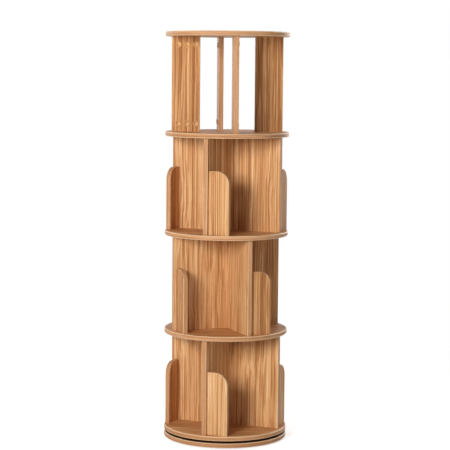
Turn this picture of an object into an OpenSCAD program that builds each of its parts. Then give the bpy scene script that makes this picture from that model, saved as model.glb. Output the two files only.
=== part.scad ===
// Round revolving bookcase: four tiers of shelves that turn on a ball-bearing base.
// Millimetres. +Z is up, the origin is on the floor under the turning axis, and the front looks along -Y.

/* [Discs] */
// Diameter of the base, the shelves and the top
disc_d = 400; // [380:1:460]
// Thickness of the base, the shelves and the top
disc_t = 15; // [14:0.5:22]
// Radius of the rounded rim edges
rim_r = 3.5; // [1:0.25:6]

/* [Tiers] */
// Clear height between two shelves
tier_clear = 305; // [280:1:360]
// Turn of the lower tiers, to the left and to the right by turns
tier_turn = 22.5; // [18:0.5:27]
// Turn of the top tier
top_turn = 5.5; // [0:0.5:12]

/* [Boards] */
// Thickness of the dividers and the fences
board_t = 15; // [14:0.5:18]
// Distance of a divider's outer end from the rim
divider_inset = 13; // [8:0.5:20]
// Radius of the eased edges at a board's free ends
board_ease = 2; // [0.5:0.25:3]

/* [Fences] */
// Distance of a fence's outer face behind its divider's outer end
fence_setback = 9; // [7:0.5:16]
// Width of a fence, from its divider's face to its free end
fence_w = 69; // [60:0.5:72]
// Height of a fence
fence_h = 202; // [180:1:260]
// Radius of a fence's rounded top corner
fence_corner_r = 41; // [10:1:50]

/* [Top tier] */
// Distance of a top divider's outer edge from the rim
top_inset = 19; // [14:0.5:24]
// Width of a top divider
top_board_w = 91; // [86:1:120]
// Distance of a top divider's middle plane from the axis
top_offset = 13.5; // [8:0.5:20]

/* [Cam fittings] */
// Number of cams at each end of a top divider
cam_count = 3; // [2:1:3]
// Spacing of the cams
cam_pitch = 28; // [24:0.5:30]
// Distance of the first cam from the divider's inner edge
cam_margin = 14; // [12:0.5:18]
// Distance of a cam's centre from the divider's end
cam_end = 26; // [22:0.5:34]
// Diameter of a cam
cam_d = 15; // [12:0.5:16]
// Height of a cam
cam_h = 9; // [8:0.25:9.5]
// Diameter of a cam's cover cap
cap_d = 19.5; // [18:0.5:22]
// Height of a cover cap's lip above the board
cap_h = 0.7; // [0.6:0.1:1.2]
// Radius of a cover cap's raised round edge
cap_edge_r = 0.9; // [0.7:0.1:1.1]
// Depth of a cover cap's round dish below its lip
cap_dish_depth = 3; // [2:0.1:3]
// Distance of the dish's edge from the outline of the spigot
cap_wall = 0.3; // [0.2:0.1:0.8]
// Depth of the cover cap's spigot inside the cam's pocket
cap_spigot_h = 3.2; // [3:0.1:3.4]
// Diameter of a cam bolt's thread in the disc
cam_bolt_d = 7; // [6:0.5:8]
// Depth of a cam bolt's thread in the disc
cam_bolt_depth = 11; // [8:0.5:12]
// Diameter of a cam bolt's shank in the divider
cam_shank_d = 5; // [4:0.25:6]

/* [Turntable] */
// Diameter of the turntable's two plates
plate_d = 300; // [280:1:320]
// Thickness of a plate
plate_t = 2; // [1.75:0.25:3]
// Depth of the ball groove in a plate
groove_depth = 1; // [0.5:0.1:1.2]
// Diameter of the ball race
race_d = 240; // [220:1:250]
// Diameter of a ball
ball_d = 4.4; // [4:0.1:6]
// Number of balls
ball_count = 24; // [12:1:36]
// Width of the ball cage
cage_w = 22; // [14:1:24]
// Thickness of the ball cage
cage_t = 1.2; // [0.8:0.1:1.6]
// Diameter of the centre rivet
rivet_d = 12; // [8:0.5:16]
// Diameter of the centre rivet's heads
rivet_head_d = 20; // [18:0.5:24]
// Height of a rivet head
rivet_head_h = 2; // [1.5:0.25:3]
// Diameter of the hole in the base for fitting the upper plate's screws
access_d = 14; // [12:0.5:18]

/* [Feet] */
// Diameter of a foot pad
pad_d = 30; // [20:1:40]
// Height of a foot pad
pad_h = 3; // [2:0.5:6]
// Number of foot pads
pad_count = 6; // [3:1:8]
// Distance of a foot pad's centre from the rim
pad_inset = 35; // [25:1:50]

/* [Fasteners] */
// Diameter of a wood screw
screw_d = 4; // [3.5:0.25:5]
// Diameter of a wood screw's countersunk head
screw_head_d = 8; // [7:0.25:9]
// Length of a wood screw, head included
screw_l = 50; // [40:1:60]
// Length of the cross recess in a screw's head
recess_l = 4; // [3:0.25:5]
// Width of the cross recess
recess_w = 0.8; // [0.6:0.1:1.2]
// Depth of the cross recess
recess_depth = 1.4; // [0.8:0.1:1.8]
// Diameter of a plate screw
plate_screw_d = 4; // [3:0.25:5]
// Diameter of a plate screw's flat head
plate_screw_head_d = 8; // [7:0.25:9]
// Height of a plate screw's flat head
plate_screw_head_h = 1.4; // [1:0.1:1.6]
// Length of a plate screw under its head
plate_screw_l = 13; // [10:0.5:14]
// Number of screws in each plate
plate_screw_count = 4; // [3:1:6]
// Distance of the lower plate's screws from the plate's edge
lower_screw_inset = 9; // [7:0.5:10]
// Diameter of the ring of the upper plate's screws
upper_screw_ring_d = 140; // [110:1:160]
// Diameter of a dowel
dowel_d = 8; // [6:0.5:8]
// Length of a dowel
dowel_l = 32; // [28:1:40]
// Depth of a dowel in a disc or in a divider's face
dowel_depth = 10; // [8:0.5:11]
// Number of screws and of dowels along a lower divider
divider_fixings = 3; // [2:1:4]
// Distance of the first fixing from the divider's inner end
fixing_margin_in = 30; // [26:1:40]
// Distance of the last fixing from the divider's outer end
fixing_margin_out = 32; // [28:1:50]
// Distance of a fence's screws from its two ends
fence_screw_margin = 16; // [12:1:24]
// Height of a fence's lower dowel, and of its upper one below the rounded corner
fence_dowel_margin = 50; // [45:1:60]

/* [Hidden] */
// Clearance all round a screw, dowel or cam in its hole
wood_fit = 0.1;
// Clearance between a dowel's end and the bottom of its hole
dowel_end_gap = 0.3;
// Radial clearance of the rivet in the turning plate
run_fit = 0.08;
// Clearance of a ball in its groove and in the cage
ball_fit = 0.3;
// Clearance between turning pieces that don't guide each other
turn_gap = 0.3;
// Clearance all round the rivet's upper head in the lowest shelf
head_room = 1;
// Length of a screw's point
screw_point = 5;
// Diameter of a screw's tip
screw_tip_d = 0.6;
// Overshoot of a cut that opens on a face
cut = 1;
$fn = 96;

wood = "#d2a172";
beech = "#e3c79c";
steel = "#b9bcc0";
zinc = "#a3a7ab";
black_plastic = "#2a2a2c";
brown_plastic = "#b98a5c";
rubber = "#3a3632";

sides = ["front", "right", "back", "left"];
lower_tiers = 3;
top_tier = lower_tiers;
tier_turns = [-tier_turn, tier_turn, -tier_turn, top_turn];

turntable_gap = 2 * (plate_t - groove_depth) + ball_d + 2 * ball_fit;
base_z = pad_h;
base_top = base_z + disc_t;
lower_plate_top = base_top + plate_t;
shelf_1_z = base_top + turntable_gap;
upper_plate_z = shelf_1_z - plate_t;
ball_z = (base_top + shelf_1_z) / 2;
tier_pitch = disc_t + tier_clear;

divider_reach = disc_d / 2 - divider_inset;
fence_face = divider_reach - fence_setback;
fence_mid = fence_face - board_t / 2;
top_inner = disc_d / 2 - top_inset - top_board_w;
screw_head_h = (screw_head_d - screw_d) / 2;
fixing_step = (divider_reach - fixing_margin_in - fixing_margin_out) / (divider_fixings - 1);
fixing_xs = [for (i = [0 : divider_fixings - 1]) fixing_margin_in + i * fixing_step];
fence_screw_ys = [board_t + fence_screw_margin, board_t + fence_w - fence_screw_margin];
fence_dowel_zs = [fence_dowel_margin, fence_h - fence_corner_r - fence_dowel_margin];
cam_xs = [for (i = [0 : cam_count - 1]) top_inner + cam_margin + i * cam_pitch];
cam_zs = [cam_end, tier_clear - cam_end];
cam_pocket_depth = cam_h + cap_spigot_h + wood_fit;
cap_dish_r = cam_d / 2 - cap_wall;
cap_dish_ball_r = (pow(cap_dish_r, 2) + pow(cap_dish_depth, 2)) / (2 * cap_dish_depth);
access_turn = tier_turns[0] + 45;

// Underside of shelf number i, counted from 0; number 4 is the top
function shelf_z(i) = shelf_1_z + i * tier_pitch;

// Moves to the underside of a tier's boards, with +X out along board number k and +Y on its fence side
module at_board(t, k) {
    translate([0, 0, shelf_z(t) + disc_t])
        rotate([0, 0, tier_turns[t] + 90 * k - 90])
            children();
}

// Repeats the children at all four boards of a tier
module at_all_boards(t) {
    for (k = [0 : 3]) at_board(t, k) children();
}

// Repeats the children round a ring
module on_ring(count, radius, first_turn = 0) {
    for (i = [0 : count - 1])
        rotate([0, 0, first_turn + i * 360 / count])
            translate([radius, 0, 0])
                children();
}

// Disc with a rounded rim, standing on z = 0
module round_disc() {
    rotate_extrude() {
        square([disc_d / 2 - rim_r, disc_t]);
        translate([0, rim_r]) square([disc_d / 2, disc_t - 2 * rim_r]);
        translate([disc_d / 2 - rim_r, rim_r]) circle(rim_r);
        translate([disc_d / 2 - rim_r, disc_t - rim_r]) circle(rim_r);
    }
}

// Cross recess of a screw that points up, with its head's face on z = 0
module cross_recess() {
    for (turn = [0, 90])
        rotate([0, 0, turn])
            translate([-recess_l / 2, -recess_w / 2, -cut])
                cube([recess_l, recess_w, cut + recess_depth]);
}

// Outline of a countersunk screw that points up, with its head's face on z = 0, grown all round by fit
module wood_screw_form(fit) {
    shank_r = screw_d / 2 + fit;
    point_z = screw_l - screw_point + fit;
    translate([0, 0, -fit]) cylinder(h = screw_head_h + fit, r1 = screw_head_d / 2 + fit, r2 = shank_r);
    translate([0, 0, screw_head_h / 2]) cylinder(h = point_z - screw_head_h / 2, r = shank_r);
    translate([0, 0, point_z]) cylinder(h = screw_point, r1 = shank_r, r2 = screw_tip_d / 2 + fit);
}

module wood_screw() {
    difference() {
        wood_screw_form(0);
        cross_recess();
    }
}

module wood_screw_hole() {
    wood_screw_form(wood_fit);
}

// Flat-headed screw pointing up, with the underside of its head on z = 0
module plate_screw() {
    difference() {
        union() {
            translate([0, 0, -plate_screw_head_h]) cylinder(h = plate_screw_head_h, d = plate_screw_head_d);
            cylinder(h = plate_screw_l, d = plate_screw_d);
        }
        translate([0, 0, -plate_screw_head_h]) cross_recess();
    }
}

// Hole of a flat-headed screw, opening downwards at z = 0
module plate_screw_hole() {
    translate([0, 0, -cut]) cylinder(h = cut + plate_screw_l + wood_fit, d = plate_screw_d + 2 * wood_fit);
}

// Dowel along +Z, with dowel_depth of it above z = 0
module dowel() {
    translate([0, 0, dowel_depth - dowel_l]) cylinder(h = dowel_l, d = dowel_d);
}

// Hole of that dowel, on both sides of z = 0
module dowel_hole() {
    translate([0, 0, dowel_depth - dowel_l - dowel_end_gap])
        cylinder(h = dowel_l + 2 * dowel_end_gap, d = dowel_d + 2 * wood_fit);
}

// Places the children at the screws under a lower tier's divider
module at_divider_screws() {
    for (x = fixing_xs) translate([x, board_t / 2, -disc_t]) children();
}

// Places the children at the dowels on a lower tier's divider
module at_divider_dowels() {
    for (x = fixing_xs) translate([x, board_t / 2, tier_clear]) children();
}

// Places the children at the screws under a fence
module at_fence_screws() {
    for (y = fence_screw_ys) translate([fence_mid, y, -disc_t]) children();
}

// Places the children at the dowels between a divider's face and a fence, pointing into the divider
module at_fence_dowels() {
    for (z = fence_dowel_zs) translate([fence_mid, board_t, z]) rotate([90, 0, 0]) children();
}

// Places the children at a top divider's cams, pointing out of its face
module at_cams() {
    for (x = cam_xs, z = cam_zs)
        translate([x, top_offset + board_t / 2, z]) rotate([-90, 0, 0]) children();
}

// Places the children at a top divider's two ends, over each cam bolt and pointing into the disc
module at_cam_bolts() {
    for (x = cam_xs) {
        translate([x, top_offset, 0]) mirror([0, 0, 1]) children();
        translate([x, top_offset, tier_clear]) children();
    }
}

// Holes in a shelf for the screws of the tier that stands on it
module tier_screw_holes(t) {
    at_all_boards(t) {
        at_divider_screws() wood_screw_hole();
        at_fence_screws() wood_screw_hole();
    }
}

// Holes in a disc for the dowels of the tier under it
module tier_dowel_holes(t) {
    at_all_boards(t) at_divider_dowels() dowel_hole();
}

// Thread of a cam bolt in the disc and its shank in the divider; grown all round by fit where it is a hole
module cam_bolt(fit = 0) {
    translate([0, 0, -cam_end]) cylinder(h = cam_end + fit, d = cam_shank_d + 2 * fit);
    cylinder(h = cam_bolt_depth + fit, d = cam_bolt_d + 2 * fit);
}

module base_disc() {
    color(wood) difference() {
        translate([0, 0, base_z]) round_disc();
        translate([0, 0, base_top - rivet_head_h - turn_gap])
            cylinder(h = rivet_head_h + turn_gap + cut, r = rivet_head_d / 2 + turn_gap);
        at_lower_plate_screws() plate_screw_hole();
        access_hole(base_z - cut, disc_t + 2 * cut);
    }
}

module foot_pads() {
    color(rubber) on_ring(pad_count, disc_d / 2 - pad_inset, -90) cylinder(h = pad_h, d = pad_d);
}

// Hole through which the upper plate's screws are driven
module access_hole(z, h) {
    rotate([0, 0, access_turn]) translate([upper_screw_ring_d / 2, 0, z]) cylinder(h = h, d = access_d);
}

// Places the children at the lower plate's screws, which point down into the base
module at_lower_plate_screws() {
    translate([0, 0, lower_plate_top])
        on_ring(plate_screw_count, plate_d / 2 - lower_screw_inset) mirror([0, 0, 1]) children();
}

// Places the children at the upper plate's screws, which point up into the lowest shelf
module at_upper_plate_screws() {
    translate([0, 0, upper_plate_z])
        on_ring(plate_screw_count, upper_screw_ring_d / 2, access_turn) children();
}

// Ball groove, common to both plates
module ball_groove() {
    translate([0, 0, ball_z])
        rotate_extrude() translate([race_d / 2, 0]) circle(ball_d / 2 + ball_fit);
}

module turntable_lower_plate() {
    color(steel) difference() {
        translate([0, 0, base_top]) cylinder(h = plate_t, d = plate_d);
        translate([0, 0, base_top - cut]) cylinder(h = plate_t + 2 * cut, r = rivet_d / 2 + wood_fit);
        ball_groove();
        at_lower_plate_screws() plate_screw_hole();
        access_hole(base_top - cut, plate_t + 2 * cut);
    }
}

module turntable_upper_plate() {
    color(steel) difference() {
        translate([0, 0, upper_plate_z]) cylinder(h = plate_t, d = plate_d);
        translate([0, 0, upper_plate_z - cut]) cylinder(h = plate_t + 2 * cut, r = rivet_d / 2 + run_fit);
        ball_groove();
        at_upper_plate_screws() plate_screw_hole();
    }
}

module lower_plate_screws() {
    color(steel) at_lower_plate_screws() plate_screw();
}

module upper_plate_screws() {
    color(steel) at_upper_plate_screws() plate_screw();
}

// Rivet with a head in the base and a head in the lowest shelf, which keeps the plates together
module centre_rivet() {
    upper_head_z = shelf_1_z + turn_gap;
    color(steel) {
        translate([0, 0, base_top - rivet_head_h]) cylinder(h = rivet_head_h, d = rivet_head_d);
        translate([0, 0, base_top - rivet_head_h])
            cylinder(h = upper_head_z - base_top + 2 * rivet_head_h, d = rivet_d);
        translate([0, 0, upper_head_z]) cylinder(h = rivet_head_h, d = rivet_head_d);
    }
}

module ball_cage() {
    color(black_plastic) translate([0, 0, ball_z - cage_t / 2]) difference() {
        cylinder(h = cage_t, d = race_d + cage_w);
        translate([0, 0, -cut]) cylinder(h = cage_t + 2 * cut, d = race_d - cage_w);
        on_ring(ball_count, race_d / 2)
            translate([0, 0, -cut]) cylinder(h = cage_t + 2 * cut, r = ball_d / 2 + ball_fit);
    }
}

module bearing_balls() {
    color(steel) translate([0, 0, ball_z]) on_ring(ball_count, race_d / 2) sphere(d = ball_d);
}

// Lowest shelf, with a recess for the rivet's head and the holes of the turntable's upper plate
module bottom_shelf() {
    color(wood) difference() {
        translate([0, 0, shelf_1_z]) round_disc();
        translate([0, 0, shelf_1_z - cut])
            cylinder(h = cut + turn_gap + rivet_head_h + head_room, r = rivet_head_d / 2 + head_room);
        at_upper_plate_screws() plate_screw_hole();
        tier_screw_holes(0);
    }
}

// Shelf between two lower tiers, number i counted from 0
module middle_shelf(i) {
    color(wood) difference() {
        translate([0, 0, shelf_z(i)]) round_disc();
        tier_dowel_holes(i - 1);
        tier_screw_holes(i);
    }
}

// Shelf under the top tier
module top_shelf() {
    color(wood) difference() {
        translate([0, 0, shelf_z(top_tier)]) round_disc();
        tier_dowel_holes(top_tier - 1);
        at_all_boards(top_tier) at_cam_bolts() cam_bolt(wood_fit);
    }
}

module top_disc() {
    color(wood) difference() {
        translate([0, 0, shelf_z(top_tier + 1)]) round_disc();
        at_all_boards(top_tier) at_cam_bolts() cam_bolt(wood_fit);
    }
}

// Section of a board: square at x = 0, where it butts on another board, and eased at its free end
module board_section(length) {
    square([length - board_ease, board_t]);
    translate([0, board_ease]) square([length, board_t - 2 * board_ease]);
    for (y = [board_ease, board_t - board_ease])
        translate([length - board_ease, y]) circle(board_ease);
}

module divider(t, k) {
    color(wood) at_board(t, k) difference() {
        linear_extrude(tier_clear) board_section(divider_reach);
        at_divider_screws() wood_screw_hole();
        at_divider_dowels() dowel_hole();
        at_fence_dowels() dowel_hole();
    }
}

// Fence without holes, from its divider at y = 0: the part below the rounded corner, the part beside it
// and the corner itself, all with eased edges
module fence_form() {
    translate([board_t, 0, 0])
        rotate([0, 0, 90])
            linear_extrude(fence_h - fence_corner_r) board_section(fence_w);
    rotate([0, -90, -90]) linear_extrude(fence_w - fence_corner_r) board_section(fence_h);
    translate([0, fence_w - fence_corner_r, fence_h - fence_corner_r])
        rotate([90, 0, 90])
            rotate_extrude(angle = 90) board_section(fence_corner_r);
}

module fence(t, k) {
    color(wood) at_board(t, k) difference() {
        translate([fence_face - board_t, board_t, 0]) fence_form();
        at_fence_screws() wood_screw_hole();
        at_fence_dowels() dowel_hole();
    }
}

// Plan of a top divider, eased at all four upright edges
module top_divider_plan() {
    translate([top_inner, top_offset - board_t / 2]) {
        translate([board_ease, 0]) square([top_board_w - 2 * board_ease, board_t]);
        translate([0, board_ease]) square([top_board_w, board_t - 2 * board_ease]);
        for (x = [board_ease, top_board_w - board_ease], y = [board_ease, board_t - board_ease])
            translate([x, y]) circle(board_ease);
    }
}

module top_divider(k) {
    color(wood) at_board(top_tier, k) difference() {
        linear_extrude(tier_clear) top_divider_plan();
        at_cams() translate([0, 0, -cam_pocket_depth])
            cylinder(h = cam_pocket_depth + cut, d = cam_d + 2 * wood_fit);
        at_cam_bolts() cam_bolt(wood_fit);
    }
}

module divider_screws(t) {
    color(steel) at_all_boards(t) at_divider_screws() wood_screw();
}

module divider_dowels(t) {
    color(beech) at_all_boards(t) at_divider_dowels() dowel();
}

module fence_screws(t) {
    color(steel) at_all_boards(t) at_fence_screws() wood_screw();
}

module fence_dowels(t) {
    color(beech) at_all_boards(t) at_fence_dowels() dowel();
}

module cam_bolts() {
    color(steel) at_all_boards(top_tier) at_cam_bolts() cam_bolt();
}

// Cams on the floor of their pockets, each bored for its bolt
module cam_locks() {
    color(zinc) at_all_boards(top_tier) difference() {
        at_cams() translate([0, 0, -cam_pocket_depth]) cylinder(h = cam_h, d = cam_d);
        at_cam_bolts() cam_bolt(wood_fit);
    }
}

// Cover cap without its dish: a lip with a raised round edge, and a spigot for the cam's pocket
module cap_blank() {
    rotate_extrude() {
        square([cap_d / 2 - cap_edge_r, cap_h]);
        translate([cap_d / 2 - 2 * cap_edge_r, 0]) square([2 * cap_edge_r, cap_edge_r]);
        translate([cap_d / 2 - cap_edge_r, cap_edge_r]) circle(cap_edge_r);
    }
    translate([0, 0, -cap_spigot_h]) cylinder(h = cap_spigot_h, d = cam_d);
}

// Cover caps, each hollowed by a round dish
module cam_caps() {
    color(brown_plastic) at_all_boards(top_tier) at_cams() difference() {
        cap_blank();
        translate([0, 0, cap_h - cap_dish_depth + cap_dish_ball_r]) sphere(cap_dish_ball_r);
    }
}

base_disc();
foot_pads();
turntable_lower_plate();
lower_plate_screws();
centre_rivet();
ball_cage();
bearing_balls();
turntable_upper_plate();
upper_plate_screws();
bottom_shelf();  // shelf_1
middle_shelf(1);  // shelf_2
middle_shelf(2);  // shelf_3
top_shelf();  // shelf_4
top_disc();
for (t = [0 : lower_tiers - 1], k = [0 : 3]) {
    divider(t, k);
    fence(t, k);
}
for (k = [0 : 3]) {
    top_divider(k);
}
for (t = [0 : lower_tiers - 1]) {
    divider_screws(t);
    divider_dowels(t);
    fence_screws(t);
    fence_dowels(t);
}
cam_bolts();  // top_tier_cam_bolts
cam_locks();  // top_tier_cam_locks
cam_caps();  // top_tier_cam_caps
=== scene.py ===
# Looks of a round revolving bookcase: striped wood boards, edge bands, hardware, floor, light and camera.
# Metres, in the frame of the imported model: +Z up, origin on the floor under the turning axis, front at -Y.
import math

import bpy
from mathutils import Matrix, Vector


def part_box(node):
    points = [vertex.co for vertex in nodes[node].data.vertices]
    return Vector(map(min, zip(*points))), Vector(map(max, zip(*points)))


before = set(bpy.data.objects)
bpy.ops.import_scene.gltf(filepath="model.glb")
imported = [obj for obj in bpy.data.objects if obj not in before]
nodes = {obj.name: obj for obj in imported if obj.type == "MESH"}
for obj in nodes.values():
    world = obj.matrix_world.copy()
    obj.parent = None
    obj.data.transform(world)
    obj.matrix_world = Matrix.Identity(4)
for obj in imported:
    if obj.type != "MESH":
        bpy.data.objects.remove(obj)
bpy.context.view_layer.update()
RIM_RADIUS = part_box("top_disc")[1][0]

# Layout of the boards, in degrees about the turning axis
SIDES = ("front", "right", "back", "left")
LOWER_TURNS = {1: -22.5, 2: 22.5, 3: -22.5}
TOP_TURN = 5.5
FRONT_TURN = -90.0
QUARTER = 90.0

# The axis through a board's thickness, in the turned frame whose X points out from the turning axis
DIVIDER_THICK_AXIS = 1
FENCE_THICK_AXIS = 0

# Camera, fitted to the rims of the discs; the angles are in degrees
CAMERA_LENS_MM = 126.24
CAMERA_SENSOR_MM = 36.0
CAMERA_DISTANCE = 5.1136
CAMERA_HEIGHT = 1.2033
CAMERA_AZIMUTH = 0.801
CAMERA_YAW = -0.052
CAMERA_PITCH = 5.669
CAMERA_ROLL = 0.482
CAMERA_REACH = 100.0

# Wood colours in linear light, from the darkest grain line to the palest wood and the painted highlight on
# the eased edges
WOOD_DARK = (0.230, 0.084, 0.026, 1.0)
WOOD_BROWN = (0.415, 0.176, 0.063, 1.0)
WOOD_MID = (0.570, 0.276, 0.108, 1.0)
WOOD_LIGHT = (0.700, 0.402, 0.186, 1.0)
WOOD_PALE = (0.820, 0.545, 0.300, 1.0)
WOOD_EDGE_HIGHLIGHT = (0.880, 0.640, 0.400, 1.0)

# Where each wood colour lies between the deepest tone, 0, and the palest, 1
WOOD_STOPS = (
    (0.10, WOOD_DARK),
    (0.32, WOOD_BROWN),
    (0.52, WOOD_MID),
    (0.75, WOOD_LIGHT),
    (0.98, WOOD_PALE),
)
MIDDLE_TONE = 0.5

# Features of the grain to the metre: twice across the grain, then along it
DRIFT_SCALE = (9.0, 9.0, 2.2)
SWAY_SCALE = (40.0, 40.0, 9.0)
FLAME_SCALE = (22.0, 22.0, 5.5)
TONE_SCALE = (55.0, 55.0, 0.7)
STRIPE_SCALE = (180.0, 180.0, 1.0)
LINE_SCALE = (420.0, 420.0, 3.5)
PORE_SCALE = (1500.0, 1500.0, 45.0)

# How far the grain wanders sideways
DRIFT_REACH = 0.026
SWAY_REACH = 0.0025
FLAME_REACH = 0.045

# Shares of the broad tone, the stripes and the fine lines in the wood's tone
TONE_SHARE = 0.22
STRIPE_SHARE = 0.48
LINE_SHARE = 0.30

# Dark lines and pores: the levels between which they set in, and how deep they are
DARK_LINE_LEVELS = (0.40, 0.16)
DARK_LINE_DEPTH = 0.48
PORE_LEVELS = (0.22, 0.06)
PORE_DEPTH = 0.35

# Heights of the grain's relief: open pores and the tops of the fine lines
PORE_HEIGHT = -1.0
LINE_HEIGHT = 0.5

# Offsets that take a piece's wood from its own part of the pattern
FACE_OFFSET = (3.7, 11.3, 5.1)
BOARD_BAND_OFFSET = (7.9, 4.3, 8.7)
RIM_BAND_OFFSET = (9.1, 2.3, 4.7)

# Painted shade: near-black paint on the upper face of the base, which shows only in the gap under the tower,
# where shade falls
GAP_PAINTED_SHADE = (0.020, 0.008, 0.004, 1.0)
BASE_PAINTED_SHADE = 0.92
UPWARD_LEVELS = (0.90, 0.99)

# The edge bands are a little rosier than the faces
BAND_TINT = (1.0, 1.08, 1.31, 1.0)

# How far the wood of a piece leans to the pale end, from -1 to 1, and how much boards differ
DISC_LIFT = 0.0
BAND_LIFT = -0.04
# Painted shade: the base's edge band is a darker copy of the other rims' bands, standing in for less light
# on the lowest rim
BASE_BAND_PAINTED_SHADE_LIFT = -0.10
DIVIDER_LIFT = 0.06
TOP_DIVIDER_LIFT = -0.02
FENCE_LIFTS = {1: 0.10, 2: -0.13, 3: 0.03}
LIFT_SPREAD = 0.10

# How strongly the stripes stand out on the faces and on the edge bands
FACE_CONTRAST = 1.4
BAND_CONTRAST = 0.55

# How much the grain of a piece flames
PLAIN_FIGURE = 0.2
FENCE_FIGURE = 0.15

# How strongly the eased edges are paled by a painted highlight, where the rounded edges catch the light
BOARD_EDGE_HIGHLIGHT = 0.45
DISC_EDGE_HIGHLIGHT = 0.75

# From edge band to face, by how squarely the surface looks out of the board: 0 on the band, 1 on the face
FACE_LEVELS = (0.60, 0.75)
EASED_START = (0.20, 0.55)
EASED_END = (0.97, 0.80)
SEAM_START = (0.950, 0.970)
SEAM_END = (0.999, 0.985)
SEAM_DEPTH = 0.55

# Satin foil: roughness from the pores to the lines, relief and gloss
WOOD_ROUGH = (0.62, 0.44)
WOOD_BUMP = 0.25
WOOD_RELIEF = 0.0003
WOOD_SPECULAR = 0.12

# Metals: colour in linear light, roughness, streaks to the metre along X, Y and Z
ZINC_PLATE = ((0.50, 0.51, 0.53), 0.38, (40.0, 900.0, 900.0))
BALL_STEEL = ((0.72, 0.73, 0.75), 0.14, (400.0, 400.0, 400.0))
SCREW_STEEL = ((0.62, 0.60, 0.54), 0.34, (700.0, 700.0, 2500.0))
CAM_ZINC = ((0.48, 0.49, 0.51), 0.50, (600.0, 600.0, 600.0))
METAL_STAIN_SCALE = (35.0, 35.0, 35.0)
METAL_STAIN_LEVELS = (0.35, 0.75)
METAL_STAIN_SHARE = 0.72
METAL_ROUGH_SPREAD = (-0.07, 0.10)
METAL_BUMP = 0.10

# Plastic and rubber: colour in linear light, roughness, grit to the metre
CAGE_PLASTIC = ((0.020, 0.020, 0.022), 0.45, 1800.0)
PAD_RUBBER = ((0.030, 0.028, 0.026), 0.80, 1200.0)
PLASTIC_CLOUD_SCALE = (60.0, 60.0, 60.0)
PLASTIC_CLOUD_SHARE = 0.78
PLASTIC_ROUGH_SPREAD = (-0.06, 0.08)
PLASTIC_BUMP = 0.20

# Wood-toned cover caps
CAP_DEEP = (0.56, 0.290, 0.100, 1.0)
CAP_PALE = (0.68, 0.385, 0.155, 1.0)
CAP_GRAIN_SCALE = (1400.0, 1400.0, 90.0)
CAP_GRAIN_LEVELS = (0.35, 0.65)
CAP_ROUGH = (0.26, 0.36)
CAP_BUMP = 0.15

# Beech dowels
BEECH_DEEP = (0.60, 0.42, 0.24, 1.0)
BEECH_PALE = (0.70, 0.52, 0.32, 1.0)
BEECH_FLECK = (0.40, 0.24, 0.12, 1.0)
BEECH_TONE_SCALE = (80.0, 80.0, 30.0)
BEECH_FLECK_SCALE = (900.0, 900.0, 120.0)
BEECH_FLECK_LEVELS = (0.42, 0.32)
BEECH_ROUGH = (0.75, 0.60)
BEECH_BUMP = 0.20

# Relief of smooth and of gritty hardware
SMOOTH_RELIEF = 0.0001
GRITTY_RELIEF = 0.0002

# Levels of plain noise between which the hardware varies, and those that the wood spreads over 0 to 1
NOISE_CORE = (0.30, 0.70)
NOISE_REACH = (0.28, 0.72)

# Floor: pale greys, a glow that brings the lit floor up to white, and where it fades to plain white
FLOOR_HALF = 30.0
FLOOR_GREYS = ((0.70, 0.70, 0.70, 1.0), (0.72, 0.72, 0.71, 1.0))
FLOOR_SPECKLE_SCALE = (300.0, 300.0, 300.0)
FLOOR_GLOW = 0.60
FLOOR_FADE = (0.6, 1.5)

# Light: strengths of the soft light from all round and of a plain white background
WORLD_LIGHT = 0.10
WHITE_LIGHT = 1.0

# Soft boxes that look at the middle of the bookcase: name, place, side and watts
LAMP_TARGET = (0.0, 0.0, 0.65)
LAMPS = (
    ("key", (-1.8, -3.8, 1.8), 1.4, 160.0),
    ("fill", (3.0, -3.0, 1.6), 2.4, 20.0),
    ("back_right", (2.4, 3.4, 1.9), 2.4, 100.0),
    ("back_left", (-2.8, 3.0, 1.9), 2.4, 62.0),
    ("top", (0.0, 0.0, 4.0), 0.9, 26.0),
)

# Numbers of the steady hash that tells pieces apart
HASH_START = 7
HASH_FACTOR = 131
HASH_PRIME = 100003


def hash_of(text):
    """A steady number between 0 and 1 for a name."""
    value = HASH_START
    for letter in text:
        value = (value * HASH_FACTOR + ord(letter)) % HASH_PRIME
    return value / HASH_PRIME


def opaque(color, share=1.0):
    """A colour with full alpha, at a share of its brightness."""
    return tuple(share * channel for channel in color) + (1.0,)


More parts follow.
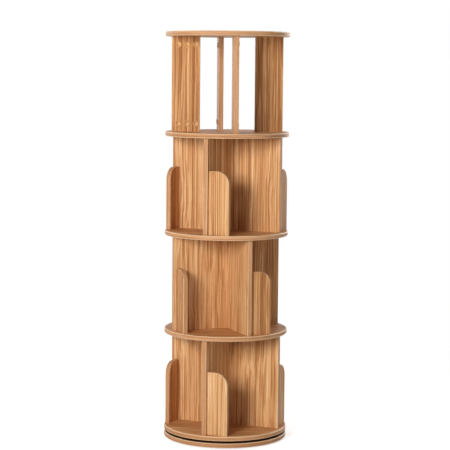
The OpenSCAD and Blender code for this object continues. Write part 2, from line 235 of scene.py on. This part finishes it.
class Graph:
    """A short way to write a node tree."""

    def __init__(self, tree):
        self.tree = tree

    def add(self, kind, **settings):
        node = self.tree.nodes.new(kind)
        for name, value in settings.items():
            setattr(node, name, value)
        return node

    def link(self, source, target):
        """Joins a socket to a target, or sets the target to a plain value."""
        if isinstance(source, bpy.types.NodeSocket):
            self.tree.links.new(source, target)
        else:
            target.default_value = source

    def math(self, operation, a, b=0.0, clamp=False):
        node = self.add("ShaderNodeMath", operation=operation, use_clamp=clamp)
        self.link(a, node.inputs[0])
        self.link(b, node.inputs[1])
        return node.outputs[0]

    def times(self, a, b):
        return self.math("MULTIPLY", a, b)

    def plus(self, a, b, clamp=False):
        return self.math("ADD", a, b, clamp)

    def vector(self, operation, a, b):
        node = self.add("ShaderNodeVectorMath", operation=operation)
        self.link(a, node.inputs[0])
        self.link(b, node.inputs[1])
        return node.outputs["Vector"]

    def length(self, vector):
        node = self.add("ShaderNodeVectorMath", operation="LENGTH")
        self.link(vector, node.inputs[0])
        return node.outputs["Value"]

    def turned(self, vector, degrees, kind):
        """A point or normal in a frame that is turned about Z."""
        node = self.add("ShaderNodeMapping", vector_type=kind)
        node.inputs["Rotation"].default_value = (0.0, 0.0, -math.radians(degrees))
        self.link(vector, node.inputs["Vector"])
        return node.outputs[0]

    def split(self, vector):
        node = self.add("ShaderNodeSeparateXYZ")
        self.link(vector, node.inputs[0])
        return node.outputs

    def join(self, x, y, z):
        node = self.add("ShaderNodeCombineXYZ")
        for value, socket in zip((x, y, z), node.inputs):
            self.link(value, socket)
        return node.outputs[0]

    def noise(self, vector, scale, detail=2.0, roughness=0.5):
        """Noise with so many features to the metre along X, Y and Z."""
        node = self.add("ShaderNodeTexNoise", noise_dimensions="3D")
        self.link(self.vector("MULTIPLY", vector, scale), node.inputs["Vector"])
        node.inputs["Scale"].default_value = 1.0
        node.inputs["Detail"].default_value = detail
        node.inputs["Roughness"].default_value = roughness
        return node.outputs[0]

    def stretched_noise(self, vector, scale, detail=2.0):
        """Noise spread over the whole of 0 to 1."""
        return self.span(self.noise(vector, scale, detail), *NOISE_REACH, smooth=False)

    def span(self, value, low, high, out_low=0.0, out_high=1.0, smooth=True):
        """Takes low to out_low and high to out_high, and holds the value beyond them."""
        kind = "SMOOTHSTEP" if smooth else "LINEAR"
        node = self.add("ShaderNodeMapRange", interpolation_type=kind)
        for socket, number in zip(node.inputs[1:5], (low, high, out_low, out_high)):
            socket.default_value = number
        self.link(value, node.inputs[0])
        return node.outputs[0]

    def ramp(self, value, stops):
        node = self.add("ShaderNodeValToRGB")
        elements = node.color_ramp.elements
        while len(elements) < len(stops):
            elements.new(0.5)
        for element, (place, color) in zip(elements, stops):
            element.position = place
            element.color = color
        self.link(value, node.inputs[0])
        return node.outputs[0]

    def mix(self, factor, a, b, blend="MIX"):
        """Mix of two colours."""
        node = self.add("ShaderNodeMix", data_type="RGBA", blend_type=blend)
        self.link(factor, node.inputs[0])
        self.link(a, node.inputs[6])
        self.link(b, node.inputs[7])
        return node.outputs[2]

    def mix_value(self, factor, a, b):
        """Mix of two numbers."""
        node = self.add("ShaderNodeMix", data_type="FLOAT")
        self.link(factor, node.inputs[0])
        self.link(a, node.inputs[2])
        self.link(b, node.inputs[3])
        return node.outputs[0]

    def mix_shader(self, factor, a, b):
        node = self.add("ShaderNodeMixShader")
        for source, socket in zip((factor, a, b), node.inputs):
            self.link(source, socket)
        return node.outputs[0]

    def glow(self, strength):
        node = self.add("ShaderNodeEmission")
        node.inputs["Strength"].default_value = strength
        return node.outputs[0]

    def bump(self, height, strength, relief):
        node = self.add("ShaderNodeBump")
        node.inputs["Strength"].default_value = strength
        node.inputs["Distance"].default_value = relief
        self.link(height, node.inputs["Height"])
        return node.outputs[0]


def new_material(name):
    """A material with its graph, its Principled shader and its texture coordinates."""
    material = bpy.data.materials.new(name)
    material.use_nodes = True
    graph = Graph(material.node_tree)
    shader = material.node_tree.nodes["Principled BSDF"]
    coords = graph.add("ShaderNodeTexCoord")
    return material, graph, shader, coords


def set_surface(graph, shader, color, rough, normal):
    """Joins the colour, roughness and relief to the shader."""
    graph.link(color, shader.inputs["Base Color"])
    graph.link(rough, shader.inputs["Roughness"])
    graph.link(normal, shader.inputs["Normal"])


def make_grain_group():
    """Node group of the wood: x and y run across the grain and z along it, in metres."""
    tree = bpy.data.node_groups.new("wood_grain", "ShaderNodeTree")
    tree.interface.new_socket("Vector", in_out="INPUT", socket_type="NodeSocketVector")
    for name in ("Lift", "Figure", "Contrast"):
        tree.interface.new_socket(name, in_out="INPUT", socket_type="NodeSocketFloat")
    tree.interface.new_socket("Color", in_out="OUTPUT", socket_type="NodeSocketColor")
    tree.interface.new_socket("Height", in_out="OUTPUT", socket_type="NodeSocketFloat")
    graph = Graph(tree)
    place, lift, figure, contrast = graph.add("NodeGroupInput").outputs[:4]

    # The grain wanders a little along its length
    drift = graph.noise(place, DRIFT_SCALE, detail=1.0)
    sway = graph.noise(place, SWAY_SCALE, detail=1.0)
    flame = graph.noise(place, FLAME_SCALE, detail=1.0)
    shift = graph.plus(graph.times(drift, DRIFT_REACH), graph.times(sway, SWAY_REACH))
    shift = graph.plus(shift, graph.times(graph.times(flame, figure), FLAME_REACH))
    warped = graph.vector("ADD", place, graph.join(shift, shift, 0.0))

    # Broad tones, stripes and fine lines make up the tone
    tone = graph.stretched_noise(warped, TONE_SCALE)
    stripe = graph.stretched_noise(warped, STRIPE_SCALE)
    line = graph.stretched_noise(warped, LINE_SCALE)
    level = graph.plus(graph.times(tone, TONE_SHARE), graph.times(stripe, STRIPE_SHARE))
    level = graph.plus(level, graph.times(line, LINE_SHARE))
    level = graph.times(graph.math("SUBTRACT", level, MIDDLE_TONE), contrast)
    level = graph.plus(level, graph.plus(lift, MIDDLE_TONE), clamp=True)
    color = graph.ramp(level, WOOD_STOPS)

    # Dark lines and pores lie over it
    dark_line = graph.times(graph.span(stripe, *DARK_LINE_LEVELS), contrast)
    color = graph.mix(graph.times(dark_line, DARK_LINE_DEPTH), color, WOOD_BROWN)
    pore = graph.span(graph.stretched_noise(warped, PORE_SCALE, detail=1.0), *PORE_LEVELS)
    color = graph.mix(graph.times(pore, PORE_DEPTH), color, WOOD_DARK)
    height = graph.plus(graph.times(line, LINE_HEIGHT), graph.times(pore, PORE_HEIGHT))

    out = graph.add("NodeGroupOutput")
    graph.link(color, out.inputs["Color"])
    graph.link(height, out.inputs["Height"])
    return tree


GRAIN = make_grain_group()


def grain(graph, place, lift, figure, contrast):
    """Colour and height of the wood at a place."""
    node = graph.add("ShaderNodeGroup", node_tree=GRAIN)
    graph.link(place, node.inputs["Vector"])
    node.inputs["Lift"].default_value = lift
    node.inputs["Figure"].default_value = figure
    node.inputs["Contrast"].default_value = contrast
    return node.outputs["Color"], node.outputs["Height"]


def own_place(graph, place, offset, seed):
    """A place moved to a piece's own part of the wood pattern."""
    return graph.vector("ADD", place, tuple(seed * step for step in offset))


def finish_wood(graph, shader, face, band, flat, edge_highlight):
    """Satin foil: a face and its edge band, a painted highlight on the eased edges, a thin dark seam by the
    band, fine pores.
    """
    on_face = graph.span(flat, *FACE_LEVELS)
    color = graph.mix(on_face, graph.mix(1.0, band[0], BAND_TINT, "MULTIPLY"), face[0])
    height = graph.mix_value(on_face, band[1], face[1])
    # Painted highlight: the eased edges are paled, where rounded edges catch the light
    eased = graph.times(graph.span(flat, *EASED_START), graph.span(flat, *EASED_END))
    color = graph.mix(graph.times(eased, edge_highlight), color, WOOD_EDGE_HIGHLIGHT)
    seam = graph.times(graph.span(flat, *SEAM_START), graph.span(flat, *SEAM_END))
    color = graph.mix(graph.times(seam, SEAM_DEPTH), color, WOOD_DARK)
    rough = graph.span(height, PORE_HEIGHT, LINE_HEIGHT, *WOOD_ROUGH)
    set_surface(graph, shader, color, rough, graph.bump(height, WOOD_BUMP, WOOD_RELIEF))
    shader.inputs["Specular IOR Level"].default_value = WOOD_SPECULAR


def board_material(name, turn, thick_axis, lift, figure):
    """Upright grain on a board's faces and a plainer edge band, turned to the board's direction."""
    material, graph, shader, coords = new_material("wood_" + name)
    seed = hash_of(name)
    own_lift = lift + LIFT_SPREAD * (seed - 0.5)
    place = graph.turned(coords.outputs["Object"], turn, "POINT")
    normal = graph.turned(coords.outputs["Normal"], turn, "NORMAL")
    flat = graph.math("ABSOLUTE", graph.split(normal)[thick_axis])
    face_place = own_place(graph, place, FACE_OFFSET, seed)
    face = grain(graph, face_place, own_lift, figure, FACE_CONTRAST)
    band_place = own_place(graph, place, BOARD_BAND_OFFSET, seed)
    band = grain(graph, band_place, BAND_LIFT, PLAIN_FIGURE, BAND_CONTRAST)
    finish_wood(graph, shader, face, band, flat, BOARD_EDGE_HIGHLIGHT)
    return material


def disc_material(name, band_lift, stain_and_painted_shade):
    """Grain along X on the faces, and along the rim on the edge band; the upper face may carry near-black
    painted shade for the gap under the tower.
    """
    material, graph, shader, coords = new_material("wood_" + name)
    seed = hash_of(name)
    x, y, z = graph.split(coords.outputs["Object"])
    upward = graph.split(coords.outputs["Normal"])[2]
    flat = graph.math("ABSOLUTE", upward)
    face_place = own_place(graph, graph.join(y, z, x), FACE_OFFSET, seed)
    wood, height = grain(graph, face_place, DISC_LIFT, PLAIN_FIGURE, FACE_CONTRAST)
    # Painted shade: the upper face is darkened towards near-black, for the shade in the gap under the tower
    stained_and_painted_shade = graph.mix(graph.span(upward, *UPWARD_LEVELS, out_high=stain_and_painted_shade), wood, GAP_PAINTED_SHADE)
    rim_run = graph.times(graph.math("ARCTAN2", y, x), RIM_RADIUS)
    band_place = own_place(graph, graph.join(z, 0.0, rim_run), RIM_BAND_OFFSET, seed)
    band = grain(graph, band_place, band_lift, PLAIN_FIGURE, BAND_CONTRAST)
    finish_wood(graph, shader, (stained_and_painted_shade, height), band, flat, DISC_EDGE_HIGHLIGHT)
    return material


def metal_material(name, color, rough, streak):
    """Plated or polished metal with fine streaks and stains."""
    material, graph, shader, coords = new_material(name)
    fine = graph.noise(coords.outputs["Object"], streak, detail=3.0, roughness=0.6)
    stain_and_painted_shade = graph.noise(coords.outputs["Object"], METAL_STAIN_SCALE, detail=3.0)
    stained_and_painted_shade = graph.span(stain_and_painted_shade, *METAL_STAIN_LEVELS)
    plated = graph.mix(stained_and_painted_shade, opaque(color), opaque(color, METAL_STAIN_SHARE))
    rough_range = [rough + step for step in METAL_ROUGH_SPREAD]
    rough_here = graph.span(fine, *NOISE_CORE, *rough_range)
    set_surface(graph, shader, plated, rough_here, graph.bump(fine, METAL_BUMP, SMOOTH_RELIEF))
    shader.inputs["Metallic"].default_value = 1.0
    return material


def plastic_material(name, color, rough, grit):
    """Moulded plastic or rubber with a fine texture and a little unevenness of colour."""
    material, graph, shader, coords = new_material(name)
    fine = graph.noise(coords.outputs["Object"], (grit, grit, grit))
    cloud = graph.noise(coords.outputs["Object"], PLASTIC_CLOUD_SCALE)
    uneven = graph.mix(graph.span(cloud, *NOISE_CORE), opaque(color, PLASTIC_CLOUD_SHARE), opaque(color))
    rough_range = [rough + step for step in PLASTIC_ROUGH_SPREAD]
    rough_here = graph.span(fine, *NOISE_CORE, *rough_range)
    set_surface(graph, shader, uneven, rough_here, graph.bump(fine, PLASTIC_BUMP, GRITTY_RELIEF))
    return material


def cap_material():
    """Wood-toned plastic: golden, with faint upright grain under a soft gloss."""
    material, graph, shader, coords = new_material("cap_plastic")
    fine = graph.noise(coords.outputs["Object"], CAP_GRAIN_SCALE)
    golden = graph.mix(graph.span(fine, *CAP_GRAIN_LEVELS), CAP_DEEP, CAP_PALE)
    rough = graph.span(fine, *NOISE_CORE, *CAP_ROUGH)
    set_surface(graph, shader, golden, rough, graph.bump(fine, CAP_BUMP, SMOOTH_RELIEF))
    return material


def dowel_material():
    """Pale beech with short upright flecks."""
    material, graph, shader, coords = new_material("beech_dowel")
    fleck = graph.noise(coords.outputs["Object"], BEECH_FLECK_SCALE)
    tone = graph.noise(coords.outputs["Object"], BEECH_TONE_SCALE)
    pale = graph.mix(graph.span(tone, *NOISE_CORE), BEECH_DEEP, BEECH_PALE)
    flecked = graph.mix(graph.span(fleck, *BEECH_FLECK_LEVELS), pale, BEECH_FLECK)
    rough = graph.span(fleck, *NOISE_CORE, *BEECH_ROUGH)
    set_surface(graph, shader, flecked, rough, graph.bump(fleck, BEECH_BUMP, GRITTY_RELIEF))
    return material


def dress(names, material):
    """Gives some nodes a material."""
    for name in names:
        for slot in nodes[name].material_slots:
            slot.material = material


def dress_boards():
    """Each board has wood of its own, with the grain turned to its direction."""
    for k, side in enumerate(SIDES):
        for tier, tier_turn in LOWER_TURNS.items():
            turn = tier_turn + QUARTER * k + FRONT_TURN
            divider = f"tier_{tier}_divider_{side}"
            fence = f"tier_{tier}_fence_{side}"
            dress([divider], board_material(divider, turn, DIVIDER_THICK_AXIS, DIVIDER_LIFT, PLAIN_FIGURE))
            dress([fence], board_material(fence, turn, FENCE_THICK_AXIS, FENCE_LIFTS[tier], FENCE_FIGURE))
        name = "top_divider_" + side
        turn = TOP_TURN + QUARTER * k + FRONT_TURN
        dress([name], board_material(name, turn, DIVIDER_THICK_AXIS, TOP_DIVIDER_LIFT, PLAIN_FIGURE))


def dress_discs():
    """Each disc has wood of its own, and the base's upper face carries painted shade under the tower."""
    dress(["base_disc"], disc_material("base_disc", BASE_BAND_PAINTED_SHADE_LIFT, BASE_PAINTED_SHADE))
    for name in ("shelf_1", "shelf_2", "shelf_3", "shelf_4", "top_disc"):
        dress([name], disc_material(name, BAND_LIFT, 0.0))


def dress_hardware():
    """Turntable, fixings, caps and pads."""
    screws = [name for name in nodes if name.endswith("_screws")]
    dowels = [name for name in nodes if name.endswith("_dowels")]
    plates = ["turntable_lower_plate", "turntable_upper_plate"]
    dress(plates, metal_material("zinc_plate", *ZINC_PLATE))
    dress(["bearing_balls"], metal_material("ball_steel", *BALL_STEEL))
    dress(screws + ["centre_rivet", "top_tier_cam_bolts"], metal_material("screw_steel", *SCREW_STEEL))
    dress(["top_tier_cam_locks"], metal_material("cam_zinc", *CAM_ZINC))
    dress(["top_tier_cam_caps"], cap_material())
    dress(["ball_cage"], plastic_material("cage_plastic", *CAGE_PLASTIC))
    dress(["foot_pads"], plastic_material("pad_rubber", *PAD_RUBBER))
    dress(dowels, dowel_material())


def add_camera():
    """Camera at the photograph's viewing angle, with no shift."""
    turn = Matrix.Rotation(math.radians(CAMERA_AZIMUTH), 3, "Z")
    yaw = math.radians(CAMERA_YAW)
    pitch = math.radians(CAMERA_PITCH)
    roll = math.radians(CAMERA_ROLL)
    forward = Vector((math.sin(yaw) * math.cos(pitch), math.cos(yaw) * math.cos(pitch), -math.sin(pitch)))
    level = Vector((math.cos(yaw), -math.sin(yaw), 0.0))
    rise = level.cross(forward)
    right = math.cos(roll) * level + math.sin(roll) * rise
    up = right.cross(forward)
    axes = Matrix((turn @ right, turn @ up, turn @ -forward)).transposed()
    place = turn @ Vector((0.0, -CAMERA_DISTANCE, CAMERA_HEIGHT))
    data = bpy.data.cameras.new("camera")
    data.lens = CAMERA_LENS_MM
    data.sensor_width = CAMERA_SENSOR_MM
    data.sensor_fit = "HORIZONTAL"
    data.clip_end = CAMERA_REACH
    camera = bpy.data.objects.new("camera", data)
    camera.matrix_world = Matrix.Translation(place) @ axes.to_4x4()
    bpy.context.scene.collection.objects.link(camera)
    bpy.context.scene.camera = camera


def seen_directly(graph):
    """1 for rays that show the stage itself: from the camera, or by reflection or through glass."""
    path = graph.add("ShaderNodeLightPath")
    seen = graph.math("MAXIMUM", path.outputs["Is Camera Ray"], path.outputs["Is Glossy Ray"])
    return graph.math("MAXIMUM", seen, path.outputs["Is Transmission Ray"])


def floor_material():
    """Pale and matt near by, where it keeps the object's shadow, and plain white further off."""
    material, graph, shader, coords = new_material("floor_pale")
    graph.tree.nodes.remove(shader)
    matt = graph.add("ShaderNodeBsdfDiffuse")
    speckle = graph.noise(coords.outputs["Object"], FLOOR_SPECKLE_SCALE)
    graph.link(graph.mix(speckle, *FLOOR_GREYS), matt.inputs["Color"])
    near = graph.add("ShaderNodeAddShader")
    graph.link(matt.outputs[0], near.inputs[0])
    graph.link(graph.glow(FLOOR_GLOW), near.inputs[1])
    far = graph.span(graph.length(coords.outputs["Object"]), *FLOOR_FADE)
    shown = graph.mix_shader(far, near.outputs[0], graph.glow(WHITE_LIGHT))
    choice = graph.mix_shader(seen_directly(graph), matt.outputs[0], shown)
    graph.link(choice, graph.tree.nodes["Material Output"].inputs["Surface"])
    return material


def add_floor():
    """Wide pale floor under the object."""
    half = FLOOR_HALF
    mesh = bpy.data.meshes.new("floor")
    corners = [(-half, -half, 0.0), (half, -half, 0.0), (half, half, 0.0), (-half, half, 0.0)]
    mesh.from_pydata(corners, [], [(0, 1, 2, 3)])
    mesh.materials.append(floor_material())
    floor = bpy.data.objects.new("floor", mesh)
    bpy.context.scene.collection.objects.link(floor)


def add_world():
    """Soft light from all round, and a white background."""
    world = bpy.data.worlds.new("studio")
    world.use_nodes = True
    bpy.context.scene.world = world
    graph = Graph(world.node_tree)
    soft = graph.tree.nodes["Background"]
    white = graph.add("ShaderNodeBackground")
    for background, strength in ((soft, WORLD_LIGHT), (white, WHITE_LIGHT)):
        background.inputs["Color"].default_value = (1.0, 1.0, 1.0, 1.0)
        background.inputs["Strength"].default_value = strength
    choice = graph.mix_shader(seen_directly(graph), soft.outputs[0], white.outputs[0])
    graph.link(choice, graph.tree.nodes["World Output"].inputs["Surface"])


def add_lamp(name, place, size, power):
    """Square soft box that looks at the middle of the bookcase."""
    data = bpy.data.lights.new(name, "AREA")
    data.size = size
    data.energy = power
    lamp = bpy.data.objects.new(name, data)
    lamp.location = place
    lamp.rotation_euler = (Vector(LAMP_TARGET) - Vector(place)).to_track_quat("-Z", "Y").to_euler()
    bpy.context.scene.collection.objects.link(lamp)


dress_boards()
dress_discs()
dress_hardware()
add_camera()
add_floor()
add_world()
for lamp_values in LAMPS:
    add_lamp(*lamp_values)
bpy.context.scene.view_settings.view_transform = "Standard"
